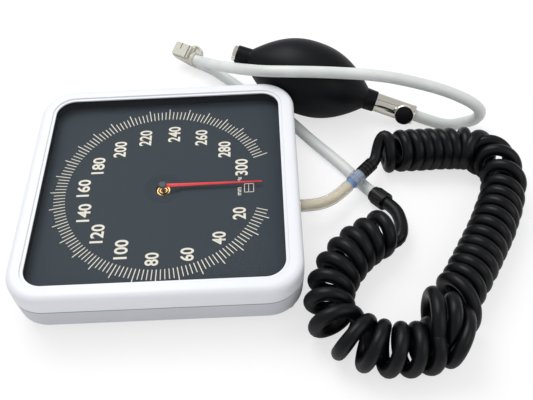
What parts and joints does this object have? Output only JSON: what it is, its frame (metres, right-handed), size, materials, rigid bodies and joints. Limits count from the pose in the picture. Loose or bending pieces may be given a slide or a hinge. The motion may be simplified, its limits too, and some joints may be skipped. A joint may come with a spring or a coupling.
{
  "type": "aneroid sphygmomanometer",
  "caption": "Square aneroid blood pressure gauge with a coiled hose, a twin-tube cuff connector and a hand inflation bulb with a release valve.",
  "frame": {"origin": "centre of the gauge's rear face, the raised square that stands on the table or bolts to a bracket", "axes": "+Z out of the dial, +X towards the foot of the dial, where zero is, +Y towards the dial's left-hand side as it is read"},
  "size_m": [0.3172, 0.2871, 0.0564],
  "materials": {
    "case_grey": "fine matt moulded plastic, pale grey",
    "case_white": "satin moulded plastic, white",
    "window": "clear flat sheet",
    "gasket": "black strip",
    "spacer": "dark matt plastic",
    "dial": "slate grey print on sheet metal",
    "pointer_red": "red enamel",
    "pointer_cap": "dark grey enamel",
    "brass": "turned brass",
    "steel": "ground steel",
    "spring": "spring strip",
    "capsule": "pressed beryllium copper",
    "nickel": "polished nickel plate",
    "black_rubber": "smooth black rubber",
    "coil_rubber": "smooth black hose",
    "hose_tan": "translucent cream hose",
    "hose_white": "smooth off-white hose",
    "blue_plastic": "translucent blue",
    "blue_clear": "clear pale blue",
    "black_plastic": "black moulded plastic",
    "beige_plastic": "beige moulded plastic",
    "knob_black": "black disc"
  },
  "bodies": {
    "sphygmomanometer": {"rear_housing": "case_grey", "bezel": "case_white", "lens": "window", "window_gasket": "gasket", "dial_spacer": "spacer", "dial_plate": "dial", "case_screws": "steel", "mount_inserts": "brass", "movement_base": "brass", "base_screws": "steel", "gear_plate": "brass", "top_plate": "brass", "lower_pillars": "brass", "upper_pillars": "brass", "movement_screws": "steel", "arbor_bush": "brass", "rocker_posts": "brass", "hairspring": "spring", "hairspring_stud": "brass", "capsule_post": "brass", "capsule": "capsule", "air_tube": "brass", "gauge_barb": "nickel", "barb_nut": "nickel", "gauge_hose": "hose_tan", "hose_adapter": "blue_plastic", "lock_collar": "blue_clear", "coil_sleeve": "black_plastic", "coil_lead": "coil_rubber", "coiled_hose": "coil_rubber", "coil_tail": "coil_rubber", "coil_collar": "black_plastic", "collar_nipple": "nickel", "cuff_hose": "hose_white", "bulb_hose": "hose_white", "connector_body": "beige_plastic", "connector_barbs": "beige_plastic", "bulb": "black_rubber", "intake_fitting": "nickel", "intake_cage": "nickel", "check_cage": "nickel", "valve_barrel": "nickel"},
    "pointer": {"pointer_arbor": "steel", "pointer": "pointer_red", "pointer_cap": "pointer_cap"},
    "sector": {"sector_gear": "brass", "sector_arbor": "steel", "push_pin": "steel"},
    "rocker": {"rocker_shaft": "steel", "lift_arm": "steel", "push_arm": "steel"},
    "capsule_top": {"capsule_boss": "brass"},
    "latch": {"connector_latch": "beige_plastic"},
    "intake_flap": {"intake_disc": "black_rubber"},
    "check_flap": {"check_disc": "black_rubber"},
    "valve_needle": {"valve_stem": "nickel"},
    "valve_knob": {"knob_rim": "nickel", "knob_disc": "knob_black"}
  },
  "joints": [
    {"name": "sector_turn", "type": "hinge", "parent": "sphygmomanometer", "child": "sector", "pos_m": [0, 0.0264, 0.022], "axis": [0, 0, 1], "range_deg": [0, 34]},
    {"name": "pointer_turn", "type": "hinge", "parent": "sphygmomanometer", "child": "pointer", "pos_m": [0, 0, 0.022], "axis": [0, 0, 1], "range_deg": [-340, 0]},
    {"name": "rocker_turn", "type": "hinge", "parent": "sphygmomanometer", "child": "rocker", "pos_m": [0.00125, 0.012, 0.0135], "axis": [0, 1, 0], "range_deg": [-22, 0]},
    {"name": "capsule_rise", "type": "slide", "parent": "sphygmomanometer", "child": "capsule_top", "axis": [0, 0, 1], "range_m": [0, 0.0018], "deforming": ["capsule"]},
    {"name": "latch_slide", "type": "slide", "parent": "sphygmomanometer", "child": "latch", "axis": [0.8601, -0.5101, 0], "range_m": [0, 0.0012]},
    {"name": "intake_flap_lift", "type": "slide", "parent": "sphygmomanometer", "child": "intake_flap", "axis": [0.9285, -0.2888, -0.2335], "range_m": [0, 0.0012]},
    {"name": "check_flap_lift", "type": "slide", "parent": "sphygmomanometer", "child": "check_flap", "axis": [0.9285, -0.2888, -0.2335], "range_m": [0, 0.0012]},
    {"name": "valve_needle_slide", "type": "slide", "parent": "sphygmomanometer", "child": "valve_needle", "axis": [-0.1256, -0.8358, 0.5344], "range_m": [0, 0.00105]},
    {"name": "valve_knob_turn", "type": "hinge", "parent": "valve_needle", "child": "valve_knob", "pos_m": [0.16243, 0.07046, 0.01485], "axis": [-0.1256, -0.8358, 0.5344], "range_deg": [0, 540]}
  ],
  "couplings": [
    {"joint": "pointer_turn", "follows": "sector_turn", "ratio": -10},
    {"joint": "rocker_turn", "follows": "sector_turn", "ratio": -0.64706},
    {"joint": "capsule_rise", "follows": "sector_turn", "m_per_rad": 0.0030333},
    {"joint": "valve_knob_turn", "follows": "valve_needle_slide", "rad_per_m": 8976}
  ]
}
